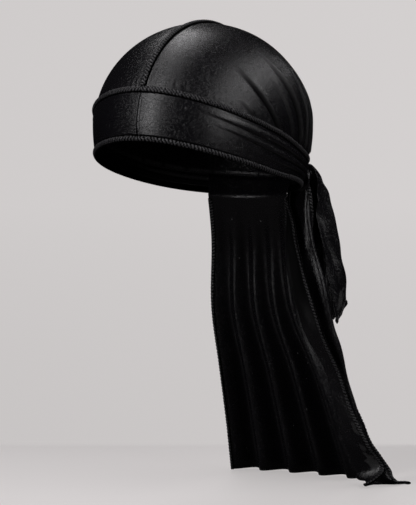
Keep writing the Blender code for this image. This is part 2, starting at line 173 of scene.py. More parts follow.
# Grids: rows and columns of each surface
CROWN_GRID = (96, 230)
CROWN_TUCK_ROWS = 4
STRAP_GRID = {1: (48, 230), -1: (44, 300)}
RIDGE_SIDES = 22
HEM_SIDES = 16
RIDGE_STEP = 0.00032
KNOT_GRID = (110, 170)
SHORT_TAIL_GRID = (120, 150)
LONG_TAIL_GRID = (120, 300)
CAPE_GRID = (190, 150)
CAPE_TOP_ROWS = 6
PLAN_STEPS = 480

# Seeds of the ripples
PUCKER_SEED = 7
STITCH_SEED = 5
SHORT_CREASE_SEED = 11
LONG_CREASE_SEED = 12
SHINE_THROUGH_SEED = 21


def table(columns, *rows):
    """A short table: its rows, whose columns have names."""
    row_type = namedtuple("Row", columns)
    return [row_type(*row) for row in rows]


# Height of the band as a share of BAND_HEIGHT, by the share of a strap's way to the knot
BAND_LEFT = table(
    "share height",
    (0.00, 1.000),
    (0.33, 0.975),
    (0.43, 0.920),
    (0.53, 0.840),
    (0.67, 0.630),
    (0.84, 0.520),
    (1.00, 0.500),
)
BAND_RIGHT = table(
    "share height",
    (0.00, 1.000),
    (0.25, 0.970),
    (0.46, 0.800),
    (0.67, 0.720),
    (0.86, 0.660),
    (1.00, 0.500),
)

# Folds of the crown: bearing at the band and at the upper end, level of the upper end as a share of
# CROWN_HEIGHT, height and width as shares of FOLD_HEIGHT and FOLD_WIDTH, and how late the fold leans
CROWN_FOLDS = table(
    "foot head head_level height width bend",
    (65.0, 56.0, 0.28, 0.35, 0.60, 1.0),
    (81.0, 57.5, 0.60, 0.80, 0.95, 1.1),
    (93.0, 81.0, 0.48, 0.45, 0.70, 1.3),
    (101.0, 84.0, 0.72, 1.00, 1.00, 1.8),
    (109.0, 112.0, 0.55, 0.80, 0.90, 1.0),
    (122.0, 126.0, 0.62, 0.85, 1.00, 1.0),
    (136.0, 143.0, 0.66, 1.00, 1.05, 1.0),
    (152.0, 160.0, 0.50, 0.75, 1.10, 1.0),
)

# Pleats of the straps: place across the band at the start and once risen (0 at the hem, 1 at the seam),
# share of the way where the pleat starts, height as a share of PLEAT_HEIGHT, width across the band
PLEATS = table(
    "first then start height width",
    (0.84, 0.77, 0.18, 0.85, 0.11),
    (0.60, 0.46, 0.26, 1.00, 0.09),
    (0.26, 0.22, 0.36, 0.80, 0.09),
)

# Painted light shining through the tie ends (0 is the short one, 1 the long one): shares of the width and
# of the length
SHINE_THROUGH_SPOTS = table(
    "tail share along width length tone",
    (0, 0.84, 0.925, 0.10, 0.045, 1.0),
    (1, 0.10, 0.785, 0.05, 0.025, 0.6),
    (1, 0.14, 0.850, 0.05, 0.014, 0.6),
    (1, 0.15, 0.900, 0.09, 0.035, 0.8),
)

# Tie ends: drop and out as shares of the tail's length and reach, fore as a share of its width, the
# turn of its face from the X axis, the three legs of its folded width as shares of the width, and the
# turns between the legs in degrees
TAIL_STATION = "along drop out fore face leg1 leg2 leg3 turn1 turn2"
SHORT_TAIL = table(
    TAIL_STATION,
    (0.00, 0.000, 0.00, 0.00, -36.0, 0.03, 0.12, 0.04, -30.0, -30.0),
    (0.04, -0.013, 0.07, 0.00, -36.0, 0.04, 0.14, 0.06, -45.0, -40.0),
    (0.09, 0.017, 0.22, 0.00, -36.0, 0.06, 0.17, 0.08, -35.0, -35.0),
    (0.14, 0.079, 0.38, 0.00, -36.0, 0.08, 0.20, 0.12, -45.0, -50.0),
    (0.22, 0.167, 0.49, 0.00, -35.0, 0.12, 0.24, 0.17, -60.0, -65.0),
    (0.36, 0.315, 0.59, 0.00, -33.0, 0.18, 0.29, 0.25, -85.0, -80.0),
    (0.55, 0.510, 0.72, 0.00, -31.0, 0.22, 0.33, 0.28, -90.0, -78.0),
    (0.78, 0.728, 0.87, 0.00, -30.0, 0.24, 0.36, 0.29, -84.0, -70.0),
    (1.00, 1.000, 1.00, 0.00, -30.0, 0.25, 0.38, 0.29, -78.0, -60.0),
)
LONG_TAIL = table(
    TAIL_STATION,
    (0.00, 0.000, -0.012, -0.02, -36.0, 0.06, 0.24, 0.03, -150.0, 40.0),
    (0.08, 0.075, -0.020, 0.07, -20.0, 0.15, 0.20, 0.05, -165.0, 120.0),
    (0.17, 0.165, -0.021, 0.15, 3.0, 0.16, 0.22, 0.09, -156.0, 160.0),
    (0.30, 0.300, 0.011, 0.22, 9.0, 0.23, 0.27, 0.13, -156.0, 165.0),
    (0.45, 0.450, 0.105, 0.28, 10.0, 0.23, 0.25, 0.11, -158.0, 160.0),
    (0.60, 0.605, 0.261, 0.32, 14.0, 0.13, 0.12, 0.09, -172.0, 150.0),
    (0.72, 0.730, 0.357, 0.33, 16.0, 0.15, 0.13, 0.06, -172.0, 120.0),
    (0.84, 0.855, 0.466, 0.34, 18.0, 0.24, 0.17, 0.05, -170.0, 70.0),
    (0.93, 0.950, 0.601, 0.34, 20.0, 0.29, 0.25, 0.05, -160.0, 40.0),
    (0.97, 0.988, 0.613, 0.34, 20.0, 0.24, 0.27, 0.05, -110.0, 15.0),
    (1.00, 1.000, 0.790, 0.34, 20.0, 0.14, 0.22, 0.04, -25.0, 5.0),
)

# Cape: drop from the band to the floor, reach to the back as a share of CAPE_REACH, sideways place as a
# share of CAPE_SPREAD, half width as a share of what the cape covers on the hollow, depth of the
# folds as a share of CAPE_FOLD, and how much of the hollow's roundness is left in it
CAPE = table(
    "along drop back side half_width fold roundness",
    (0.00, 0.000, 0.00, 0.000, 1.00, 0.10, 1.00),
    (0.15, 0.150, 0.30, -0.098, 0.99, 0.22, 1.00),
    (0.38, 0.400, 0.42, -0.096, 1.11, 0.50, 0.85),
    (0.60, 0.630, 0.60, 0.055, 1.37, 0.85, 0.60),
    (0.80, 0.840, 0.80, 0.147, 1.55, 1.00, 0.50),
    (0.93, 0.975, 0.93, 0.198, 1.67, 1.05, 0.50),
    (1.00, 1.000, 1.00, 0.180, 1.70, 0.90, 0.50),
)

# Cloth finishes: colour in the dark and in the light blotches, least and most roughness, heights of the
# weave and of the crinkle in metres, and the shader's specular level
FINISHES = table(
    "name dark light smooth rough weave crinkle specular",
    ("black_satin", (0.0035, 0.0032, 0.0042, 1.0), (0.0065, 0.0060, 0.0075, 1.0),
     0.20, 0.32, 0.000006, 0.00006, 0.5),
    ("black_thread", (0.030, 0.0295, 0.032, 1.0), (0.075, 0.073, 0.078, 1.0),
     0.30, 0.42, 0.00001, 0.0001, 0.6),
)
GRAIN_HEIGHT = 0.00003
CURL_HEIGHT = 0.000048
CURL_SHARPNESS = 14.0
WEAVE_LENGTHWISE = 0.25
WEAVE_SHIFT = 1.5
WEAVE_FLOAT = 0.4
LINT_REACH = 0.10
LINT_COLOUR = (0.16, 0.16, 0.165, 1.0)

# Noises of both finishes: frequency as a share of the crinkle's own
CLOTH_NOISE = table(
    "name scale detail rough warp",
    ("Height", 1.0, 3.0, 0.55, 1.2),
    ("Grain", 6.0, 2.0, 0.50, 0.0),
    ("Blotch", 0.2, 2.0, 0.50, 0.0),
    ("Curl", 2.2, 1.0, 0.50, 1.6),
)

# Painted light and shade on the cloth: black and dull where shade is painted, lighter where light shining
# through it is painted
PAINTED_SHADE_COLOUR = (0.0005, 0.0005, 0.0005, 1.0)
PAINTED_SHADE_ROUGHNESS = 0.9
SHINE_THROUGH_COLOUR = (0.055, 0.055, 0.055, 1.0)


# Curves and noise

def smooth_row(rows, at):
    """A table's row at each value `at` of its first column, by cubic Hermite curves through its rows."""
    numbers = np.array(rows, float)
    place, values = numbers[:, 0], numbers[:, 1:]
    slopes = np.gradient(values, place, axis=0)
    at = np.clip(np.atleast_1d(np.asarray(at, float)), place[0], place[-1])
    row = np.clip(np.searchsorted(place, at, side="right") - 1, 0, len(place) - 2)
    step = (place[row + 1] - place[row])[..., None]
    t = (at - place[row])[..., None] / step
    before = values[row] * (2 * t**3 - 3 * t**2 + 1) + slopes[row] * step * (t**3 - 2 * t**2 + t)
    after = values[row + 1] * (3 * t**2 - 2 * t**3) + slopes[row + 1] * step * (t**3 - t**2)
    return type(rows[0])(at, *np.moveaxis(before + after, -1, 0))


def smooth_step(value, start, end):
    """0 up to the start and 1 from the end, by t * t * (3 - 2 * t) between them."""
    t = np.clip((value - start) / (end - start), 0.0, 1.0)
    return t * t * (3 - 2 * t)


def ripples(seed, size, *places):
    """Smooth noise of about -1 to 1: a sum of 20 cosine waves about `size` long, in seeded directions."""
    random = np.random.default_rng(seed)
    total = 0.0
    for _ in range(20):
        heading = random.normal(size=len(places))
        heading *= 2 * np.pi / size / np.linalg.norm(heading) * 2 ** random.uniform(-0.6, 0.6)
        wave = sum(k * place for k, place in zip(heading, places))
        total = total + np.cos(wave + random.uniform(0, 2 * np.pi))
    return total / np.sqrt(20)


def running_length(points, axis):
    """Distance along a grid's lines in one direction, from 0 at the first."""
    gaps = np.linalg.norm(np.diff(points, axis=axis), axis=-1)
    return np.concatenate([np.zeros_like(np.take(gaps, [0], axis)), np.cumsum(gaps, axis)], axis)


def unit(vectors):
    """The vectors brought to a length of 1."""
    return vectors / np.maximum(np.linalg.norm(vectors, axis=-1, keepdims=True), 1e-12)


def grid_normals(points):
    """Unit normals of a grid: the direction along a row crossed with that along a column."""
    return unit(np.cross(np.gradient(points, axis=1), np.gradient(points, axis=0)))


def skewed_ridge(apart, width, steep):
    """A fold cut across: exp(-(apart / width)^2), with `steep` of that width on its near side."""
    reach = width * np.where(apart < 0, steep, 1.0)
    return np.exp(-((apart / reach) ** 2))


# The hollow and the lines on it

def hollow_surface(bearing, level, out=0.0):
    """Points `out` metres off the hollow, at bearings in degrees and levels in metres.

    The hollow is two half ellipsoids that meet at level 0. Its ring at a level is sqrt(1 - (level /
    height)^2), x is HALF_WIDTH * ring * sin(bearing), y is -HALF_LENGTH * ring * cos(bearing), and a
    point goes out along the ellipsoid's normal.
    """
    bearing, level, out = np.broadcast_arrays(np.radians(bearing), level, out)
    height = np.where(level > 0, CROWN_HEIGHT, LOWER_HEIGHT)
    ring = np.sqrt(np.maximum(1 - (level / height) ** 2, 0.0))
    point = np.stack(
        [HALF_WIDTH * ring * np.sin(bearing), -HALF_LENGTH * ring * np.cos(bearing), level], axis=-1
    )
    normal = point / np.stack([HALF_WIDTH + 0 * level, HALF_LENGTH + 0 * level, height], axis=-1) ** 2
    return point + unit(normal) * out[..., None]


def level_angle(level):
    """Angle down from the top of the hollow to a level."""
    return np.arccos(level / np.where(level > 0, CROWN_HEIGHT, LOWER_HEIGHT))


def level_at(angle):
    """Level at an angle down from the top of the hollow."""
    return np.cos(angle) * np.where(np.abs(angle) < np.pi / 2, CROWN_HEIGHT, LOWER_HEIGHT)


def band_middle(bearing):
    """Level of the band's middle line, which falls from the brow to the nape."""
    turn = (1 - np.cos(np.radians(bearing))) / 2
    return BROW_LEVEL - NAPE_DROP * turn * (1 - DROP_BIAS * turn) / (1 - DROP_BIAS)


def strap_sweep(side):
    """Angle that a strap goes through from the brow to the knot: side 1 is the left, -1 the right."""
    return KNOT_BEARING if side > 0 else 360.0 - KNOT_BEARING


def band_height(share, side):
    """Height of the band at shares of a strap's way."""
    share = np.asarray(share, float)
    stations = BAND_LEFT if side > 0 else BAND_RIGHT
    return BAND_HEIGHT * smooth_row(stations, share.ravel()).height.reshape(share.shape)


def band_height_at(bearing):
    """Height of the band at bearings from -180 to 360, past the knot on the right strap."""
    bearing = np.atleast_1d(np.asarray(bearing, float))
    left = (bearing >= 0) & (bearing <= KNOT_BEARING)
    turned = np.where(bearing > KNOT_BEARING, bearing - 360.0, bearing)
    on_left = band_height(np.abs(bearing) / strap_sweep(1), 1)
    on_right = band_height(np.abs(turned) / strap_sweep(-1), -1)
    return np.where(left, on_left, on_right)


def band_top(bearing):
    """Level of the band's seam."""
    return band_middle(bearing) + band_height_at(bearing) / 2


def band_bottom(bearing):
    """Level of the band's hem."""
    return band_middle(bearing) - band_height_at(bearing) / 2


def strap_shares(side, count):
    """Shares of the way along a strap, from half a clearance at the brow to half of one at the knot."""
    trim = np.degrees(CLEARANCE / 2 / HALF_WIDTH) / strap_sweep(side)
    return np.linspace(trim, 1 - trim, count)


def knot_frame():
    """The knot's place on the hollow, and the directions out of it, forward along the band and up it."""
    foot = hollow_surface(KNOT_BEARING, band_middle(KNOT_BEARING))
    out = hollow_surface(KNOT_BEARING, band_middle(KNOT_BEARING), 1.0) - foot
    fore = np.array([out[1], -out[0], 0.0]) / np.hypot(out[0], out[1])
    return foot, out, fore, np.cross(fore, out)


# Meshes

def in_scene(name, content):
    """A new object of the scene, at the origin."""
    made = bpy.data.objects.new(name, content)
    bpy.context.scene.collection.objects.link(made)
    return made


def new_piece(name, vertices, faces, uv, material, nodes, painted_shade=None, shine_through=None):
    """A piece from vertices over the hollow, its faces, and a place on the flat cloth for each vertex.

    The last two give the shade painted on each vertex and the light painted there as shining through it.
    """
    mesh = bpy.data.meshes.new(name)
    lowered = np.asarray(vertices).reshape(-1, 3) - np.array([0.0, 0.0, CROWN_HEIGHT])
    mesh.from_pydata(lowered.tolist(), [], faces)
    layer = mesh.uv_layers.new(name="cloth")
    corners = np.empty(len(mesh.loops), np.int32)
    mesh.loops.foreach_get("vertex_index", corners)
    layer.data.foreach_set("uv", np.asarray(uv, np.float32).reshape(-1, 2)[corners].ravel())
    for label, values in (("painted_shade", painted_shade), ("shine_through", shine_through)):
        if values is not None:
            mark = mesh.attributes.new(label, "FLOAT", "POINT")
            mark.data.foreach_set("value", np.asarray(values, np.float32).ravel())
    mesh.materials.append(material)
    mesh.shade_smooth()
    piece = in_scene(name + "_fine", mesh)
    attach(piece, "root")
    if nodes:
        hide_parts(*nodes)
    return piece


def grid_faces(rows, columns):
    """Quads of a grid of vertices, row by row."""
    corner = (np.arange(rows - 1)[:, None] * columns + np.arange(columns - 1)).ravel()
    return np.stack([corner, corner + 1, corner + columns + 1, corner + columns], axis=1).tolist()


def add_wall(piece, wall):
    """Gives an open surface its cloth wall, on the side of its normals."""
    shell = piece.modifiers.new("Wall", "SOLIDIFY")
    shell.thickness = wall
    shell.offset = 1.0
    return piece


def cloth_sheet(name, points, wall, material, nodes, painted_shade=None, shine_through=None):
    """An open sheet through a grid of points, laid flat by the running lengths of its grid lines."""
    rows, columns = points.shape[:2]
    uv = np.stack([running_length(points, 0), running_length(points, 1)], axis=-1)
    piece = new_piece(name, points, grid_faces(rows, columns), uv, material, nodes, painted_shade=painted_shade, shine_through=shine_through)
    return add_wall(piece, wall)


def closed_tube(name, rings, uv, material, nodes, painted_shade=None):
    """A closed body through a row of rings, with a flat cap on its first and last ring."""
    count, sides = rings.shape[:2]
    start, step = np.arange(count - 1)[:, None] * sides, np.arange(sides)
    after = (step + 1) % sides
    corners = [start + step, start + after, start + sides + after, start + sides + step]
    quads = np.stack(corners, axis=-1).reshape(-1, 4)
    caps = [step[::-1].tolist(), (step + (count - 1) * sides).tolist()]
    return new_piece(name, rings, quads.tolist() + caps, uv, material, nodes, painted_shade)


# Crown

def crown_relief(bearing, level, side):
    """Height of the crown's folds and puckers, and the shade painted in the groove before each fold.

    A fold is a skewed ridge along a line that goes from its foot to its head by its rise to the power of
    its bend. The puckers are ripples that fade by exp(-height over the seam / PUCKER_REACH).
    """
    seam = band_top(side * bearing)
    ring = np.sqrt(1 - np.clip(level / CROWN_HEIGHT, 0, 1) ** 2)
    relief, painted_shade = np.zeros_like(level), np.zeros_like(level)
    for fold in CROWN_FOLDS:
        rise = (level - seam) / (fold.head_level * CROWN_HEIGHT - seam)
        lean = np.clip(rise, 0.0, FOLD_OVERRUN) ** fold.bend
        line = fold.foot + (fold.head - fold.foot) * lean
        apart = np.radians(bearing - line) * HALF_LENGTH * ring
        ridge = skewed_ridge(apart, FOLD_WIDTH * fold.width, FOLD_STEEP)
        groove = np.exp(-(((apart + FOLD_GROOVE * FOLD_WIDTH * fold.width) / GROOVE_WIDTH) ** 2))
        fade = 1 - smooth_step(rise, *FOLD_FADE)
        relief += (FOLD_HEIGHT * ridge - GROOVE_DEPTH * groove) * fold.height * fade
        # painted shade in the groove before each fold, where the cloth is also dipped
        painted_shade = np.maximum(painted_shade, np.minimum(GROOVE_SHADE * fold.height, 1.0) * groove * fade)
    clear = smooth_step((level - seam) / RIDGE_WIDTH, *FOLD_START)
    around = np.radians(bearing) * HALF_LENGTH
    pucker = ripples(PUCKER_SEED, PUCKER_SIZE, around, level / 4)
    pucker = pucker * np.exp(-(level - seam - RIDGE_WIDTH / 2) / PUCKER_REACH)
    share = 1.0 if side > 0 else RIGHT_FOLD_SHARE
    return relief * clear * share + PUCKER_HEIGHT * (pucker + 1) * clear, painted_shade * share


def crown_half(name, side, material):
    """Half of the cap: a fan of meridians from its top to a rim under the band's middle.

    A row's angle down from the top is its share of the seam's own, at bearings of 0 to 180 degrees.
    """
    rows, columns = CROWN_GRID
    bearing = np.linspace(0.0, 180.0, columns)
    edge = band_top(side * bearing) + RIDGE_WIDTH / 2 + CLEARANCE
    share = np.linspace(0.0, 1.0, rows)[1:, None]
    level = level_at(share * level_angle(edge))
    tuck = np.linspace(0.0, 1.0, CROWN_TUCK_ROWS + 1)[1:, None]
    level = np.concatenate([level, edge + (band_middle(bearing) - edge) * tuck])
    bearing = np.broadcast_to(bearing, level.shape)
    relief, painted_shade = crown_relief(bearing, level, side)
    points = hollow_surface(side * bearing, level, relief)
    shift = np.array([side * CLEARANCE / 2, 0.0, 0.0])
    top = np.array([[0.0, 0.0, CROWN_HEIGHT]])
    around = np.radians(bearing) * HALF_LENGTH * np.sqrt(1 - np.clip(level / CROWN_HEIGHT, -1, 1) ** 2)
    uv = np.stack([around, running_length(points, 0)], axis=-1)
    quads = np.array(grid_faces(len(level), columns)) + 1
    first = 1 + np.arange(columns - 1)
    fan = np.stack([0 * first, first, first + 1], axis=1)
    faces = [face[::side] for face in fan.tolist() + quads[:, ::-1].tolist()]
    vertices = np.concatenate([top, points.reshape(-1, 3)]) + shift
    flat = np.concatenate([[[0.0, 0.0]], uv.reshape(-1, 2)])
    marks = np.concatenate([[0.0], painted_shade.ravel()])
    return add_wall(new_piece(name, vertices, faces, flat, material, [name], painted_shade=marks), CLOTH_WALL)


# Band

def strap(name, side, material):
    """Half of the band between its seam and its hem, with lengthwise pleats that have shade painted at
    their feet.

    The level is the band's middle plus a share of its height, at bearings from the brow to the knot. The
    left half ends at the brow in a small lip, where it laps over the right one.
    """
    rows, columns = STRAP_GRID[side]
    share = strap_shares(side, columns)[None, :]
    across = np.linspace(0.0, 1.0, rows)[:, None]
    bearing = side * strap_sweep(side) * share
    height = band_height(share[0], side) - RIDGE_WIDTH - 2 * CLEARANCE
    level = band_middle(bearing) + (across - 0.5) * height
    relief, painted_shade = np.zeros_like(level), np.zeros_like(level)
    pinch = 1 - (1 - PLEAT_AT_KNOT) * smooth_step(share, KNOT_PINCH, 1.0)
    for pleat in PLEATS:
        risen = smooth_step(share, pleat.start, pleat.start + PLEAT_RISE)
        apart = across - pleat.first - (pleat.then - pleat.first) * risen
        height = PLEAT_HEIGHT * pleat.height * risen * pinch
        relief += height * skewed_ridge(apart, pleat.width, PLEAT_STEEP)
        # painted shade along each pleat's foot, on its steep side
        foot = apart + PLEAT_FOOT * PLEAT_STEEP * pleat.width
        painted_shade = np.maximum(painted_shade, risen * np.exp(-((foot / PLEAT_SHADE_WIDTH) ** 2)))
    edge = smooth_step(np.minimum(across, 1 - across), PLEAT_BORDER, 3 * PLEAT_BORDER)
    around = np.radians(np.abs(bearing)) * HALF_LENGTH
    lip = LIP_HEIGHT * (1 - smooth_step(around, LIP_WIDTH / 2, LIP_WIDTH)) if side > 0 else 0.0
    points = hollow_surface(bearing, level, STRAP_SEAT + relief * edge + lip * edge)
    order = slice(None, None, side)
    return cloth_sheet(name, points[:, order], STRAP_WALL, material, [name], painted_shade[:, order])


def stitches(turn, along, slant):
    """Overlocked thread round a ridge: the relief of its slanted bars, and the shade painted off their
    tops.

    `turn` is the angle round the ridge, with its top at a quarter turn, and `along` the way along it.
    A bar is |cos(pi * (along / STITCH_PITCH + slant * cos(turn)))|, with a little unevenness.
    """
    place = np.cos(turn)
    uneven = along + STITCH_WOBBLE * ripples(STITCH_SEED, STITCH_WANDER, along, place / 3)
    bar = np.abs(np.cos(np.pi * (uneven / STITCH_PITCH + slant * place)))
    on_top = smooth_step(np.sin(turn), *STITCH_EDGE)
    relief = STITCH_DEPTH * on_top * (bar**0.7 - STITCH_MIDDLE)
    # painted shade: 1 between the bars and down the ridge's sides, 0 on a bar's top
    return relief, 1 - on_top * smooth_step(bar, *STITCH_GAP)


def ridge_ring(sides):
    """Angles round a ridge or a knot."""
    return np.linspace(0.0, 2 * np.pi, sides, endpoint=False)[None, :]


def band_ridge(name, side, place, slant, material):
    """The raised strip along one edge of the band: place 1 is the seam, -1 the hem.

    Half an ellipse is carried along the edge: the way across is half the width times cos(turn) and the
    height is the arch times sin(turn), both with the thread's relief.
    """
    length = np.radians(strap_sweep(side)) * (HALF_WIDTH + HALF_LENGTH) / 2
    share = strap_shares(side, int(length / RIDGE_STEP))[:, None]
    bearing = side * strap_sweep(side) * share
    middle = band_middle(bearing) + place * band_height(share, side) / 2
    turn = ridge_ring(RIDGE_SIDES)
    along = running_length(hollow_surface(bearing, middle, STRAP_SEAT), 0)
    thread, painted_shade = stitches(turn, along, slant)
    across = (RIDGE_WIDTH / 2 + thread) * np.cos(turn)
    over = STRAP_WALL + RIDGE_ARCH
    height = np.maximum((over + thread) * np.sin(turn), 0.0)
    rings = hollow_surface(bearing, middle + across, STRAP_SEAT + height)
    uv = np.stack([turn * RIDGE_WIDTH / 2 + 0 * along, along + 0 * turn], axis=-1)
    order = slice(None, None, -side)
    return closed_tube(name, rings[order], uv[order], material, [name], painted_shade[order])


def centre_seam(material):
    """The raised seam over the crown, from the band at the brow to the band at the back.

    Half an ellipse is carried over the top in the plane x = 0, as along the band's edges.
    """
    ends = level_angle(band_top([0.0, 180.0]) + RIDGE_WIDTH / 2 + CLEARANCE)
    length = ends.sum() * (CROWN_HEIGHT + HALF_LENGTH) / 2
    angle = np.linspace(-ends[0], ends[1], int(length / RIDGE_STEP))[:, None]
    turn = ridge_ring(RIDGE_SIDES)
    bearing = np.where(angle < 0, 0.0, 180.0)
    along = running_length(hollow_surface(bearing, level_at(angle), CLOTH_WALL), 0)
    thread, painted_shade = stitches(turn, along, CENTRE_SLANT)
    over = STRAP_WALL + SEAM_ARCH
    height = np.maximum((over + thread) * np.sin(turn), 0.0)
    rings = hollow_surface(bearing, level_at(angle), CLOTH_WALL + CLEARANCE + height)
    rings[..., 0] = (SEAM_WIDTH / 2 + thread) * np.cos(turn)
    uv = np.stack([turn * SEAM_WIDTH / 2 + 0 * along, along + 0 * turn], axis=-1)
    return closed_tube("centre_seam", rings, uv, material, ["centre_seam"], painted_shade)


# Knot and tie ends

def knot_underside():
    """Distance from the hollow to the knot's inner side, which clears the pleats of both straps."""
    return STRAP_SEAT + STRAP_WALL + PLEAT_HEIGHT * PLEAT_AT_KNOT + CLEARANCE


def knot(material):
    """A rounded wrap over the meeting straps, with pleats that run round it on the slant.

    A ring at a height h of -1 to 1 has the radius sqrt(1 - |KNOT_ROUND * h|^KNOT_SQUARE), times 1 plus
    ridges that go by cos(KNOT_RIDGES * turn + KNOT_SLANT * h), with finer ones between them.
    """
    foot, out, fore, up = knot_frame()
    count, sides = KNOT_GRID
    rings = np.linspace(-1.0, 1.0, count)[:, None]
    turn = ridge_ring(sides)
    belly = np.sqrt(1 - np.abs(KNOT_ROUND * rings) ** KNOT_SQUARE)
    waves = np.cos(KNOT_RIDGES * turn + KNOT_SLANT * rings)
    fine = np.abs(np.cos(KNOT_FINE_RIDGES * turn + 2 * KNOT_SLANT * rings + KNOT_FINE_TURN))
    ridged = belly * (1 + KNOT_RIDGE / KNOT_HALF_DEPTH * (waves + KNOT_FINE_SHARE * fine) * belly)
    along = KNOT_HALF_LENGTH * ridged * np.cos(turn)
    away = knot_underside() + KNOT_HALF_DEPTH * (1 + np.maximum(ridged * np.sin(turn), -1.0))
    rise = KNOT_HALF_HEIGHT * rings + 0 * turn
    body = foot + along[..., None] * fore + away[..., None] * out + rise[..., None] * up
    uv = np.stack([turn * KNOT_HALF_LENGTH + 0 * rise, rise], axis=-1)
    return closed_tube("knot", body, uv, material, ["knot"])


def folded_plan(legs, turns, columns):
    """Plan of a width folded into three legs with rounded turns between them, centred on its middle.

    The direction along the width is the sum of two smooth steps of the given turns, each spread over
    the arc that FOLD_RADIUS needs, and the plan is that direction's running sum.
    """
    bends = np.abs(np.radians(turns)) * FOLD_RADIUS
    lengths = np.stack([legs[0], bends[0], legs[1], bends[1], legs[2]])
    marks = np.concatenate([np.zeros((1, lengths.shape[1])), np.cumsum(lengths, axis=0)])
    fine = np.linspace(0.0, 1.0, PLAN_STEPS + 1)[:, None] * marks[-1]
    first = np.radians(turns[0]) * smooth_step(fine, marks[1], marks[2] + 1e-9)
    second = np.radians(turns[1]) * smooth_step(fine, marks[3], marks[4] + 1e-9)
    heading = first + second - np.radians(turns[0])
    step = np.diff(fine, axis=0)
    middle = (heading[1:] + heading[:-1]) / 2
    start = np.zeros((1, lengths.shape[1]))
    x = np.concatenate([start, np.cumsum(np.cos(middle) * step, axis=0)])
    y = np.concatenate([start, np.cumsum(np.sin(middle) * step, axis=0)])
    pick = np.linspace(0, PLAN_STEPS, columns).round().astype(int)
    return (x - x.mean(axis=0))[pick], (y - y.mean(axis=0))[pick]


def tail_surface(stations, grid, root, length, reach, width, slant):
    """A tie end's sheet: its table's stations run down and away from the root, each a folded width.

    A point is the root, plus the station's way out and forward, less its drop, plus the folded plan's x
    along the station's face and its y off that face.
    """
    at = smooth_row(stations, np.linspace(0.0, 1.0, grid[1]))
    legs, turns = np.stack([at.leg1, at.leg2, at.leg3]) * width, np.stack([at.turn1, at.turn2])
    x, y = folded_plan(legs, turns, grid[0])
    ahead = knot_frame()[2]
    away = np.array([-ahead[1], ahead[0], 0.0])
    face = np.radians(at.face)
    across = np.stack([np.cos(face), np.sin(face), 0 * face], axis=-1)
    deep = np.stack([-across[:, 1], across[:, 0], 0 * face], axis=-1)
    points = root + at.out[:, None] * reach * away + at.fore[:, None] * width * ahead
    points = points - at.drop[:, None] * length * np.array([0.0, 0.0, 1.0])
    sheet = points[None] + x[..., None] * across + y[..., None] * deep
    share = np.linspace(0.0, 1.0, grid[0])[:, None]
    from_fold = np.minimum(np.abs(share - SLANT_FOLD) / (1.0 - SLANT_FOLD), 1.0)
    sheet[..., 2] -= slant * from_fold * smooth_step(at.along, SLANT_START, 1.0)
    return sheet


def tail_root(place):
    """Where a tie end leaves the knot: place 1 is over it, -1 under it."""
    foot, out, _, up = knot_frame()
    return foot + (knot_underside() + KNOT_HALF_DEPTH) * out + place * (KNOT_HALF_HEIGHT + TAIL_LIFT) * up


def creased(sheet, seed, height, size, stretch):
    """The sheet with soft creases along it: ripples on its normals, drawn out lengthwise by `stretch`."""
    width, length = running_length(sheet, 0), running_length(sheet, 1)
    wave = ripples(seed, size, width, length / stretch)
    ease = smooth_step(length, 0.0, CREASE_EASE)
    return sheet + grid_normals(sheet) * (height * wave * ease)[..., None]


def edge_hem(name, edge, inner, normal, wall, material):
    """A rolled hem round a sheet's edge line, stitched on both faces: an ellipse carried along the edge.

    `inner` is a line of the sheet inside the edge, and `normal` the sheet's normals along the edge.
    """
    gaps = np.linalg.norm(np.diff(edge, axis=0), axis=-1)
    place = np.concatenate([[0.0], np.cumsum(gaps)])
    count = int(place[-1] / RIDGE_STEP)
    at = np.linspace(0.0, place[-1], count)

    def along_edge(values):
        return np.stack([np.interp(at, place, values[:, axis]) for axis in range(3)], axis=-1)

    inward = unit(along_edge(unit(inner - edge)))[:, None]
    face = unit(along_edge(normal))[:, None]
    middle = along_edge(edge)[:, None] + inward * HEM_WIDTH * HEM_INSET + face * wall / 2
    turn = ridge_ring(HEM_SIDES)
    front, front_gap_shade = stitches(turn, at[:, None], EDGE_SLANT)
    back, back_gap_shade = stitches(-turn, at[:, None], EDGE_SLANT)
    # painted shade between the stitch bars and off their tops, from both faces
    thread, painted_shade = front + back, np.minimum(front_gap_shade, back_gap_shade)
    across = (HEM_WIDTH / 2 + thread / 2) * np.cos(turn)
    out = (HEM_HEIGHT / 2 + thread) * np.sin(turn)
    rings = middle + across[..., None] * inward + out[..., None] * face
    uv = np.stack([turn * HEM_WIDTH / 2 + 0 * across, at[:, None] + 0 * turn], axis=-1)
    onward = np.sum(np.cross(inward[:, 0], face[:, 0]) * np.gradient(middle[:, 0], axis=0))
    order = slice(None) if onward > 0 else slice(None, None, -1)
    return closed_tube(name, rings[order], uv[order], material, [], painted_shade[order])


def shine_through_marks(tail, sheet):
    """Painted light where it would shine through a tie end: soft patches from the table, broken up by
    ripples.
    """
    rows, columns = sheet.shape[:2]
    share, along = np.linspace(0.0, 1.0, rows)[:, None], np.linspace(0.0, 1.0, columns)[None, :]
    rough = ripples(SHINE_THROUGH_SEED, SHINE_THROUGH_RAGGED, running_length(sheet, 0), running_length(sheet, 1))
    marks = np.zeros((rows, columns))
    for spot in SHINE_THROUGH_SPOTS:
        if spot.tail == tail:
            aside, onward = (share - spot.share) / spot.width, (along - spot.along) / spot.length
            apart = aside**2 + onward**2 + SHINE_THROUGH_RAGGED_SHARE * rough
            marks = np.maximum(marks, spot.tone * (1 - smooth_step(apart, *SHINE_THROUGH_EDGE)))
    return marks


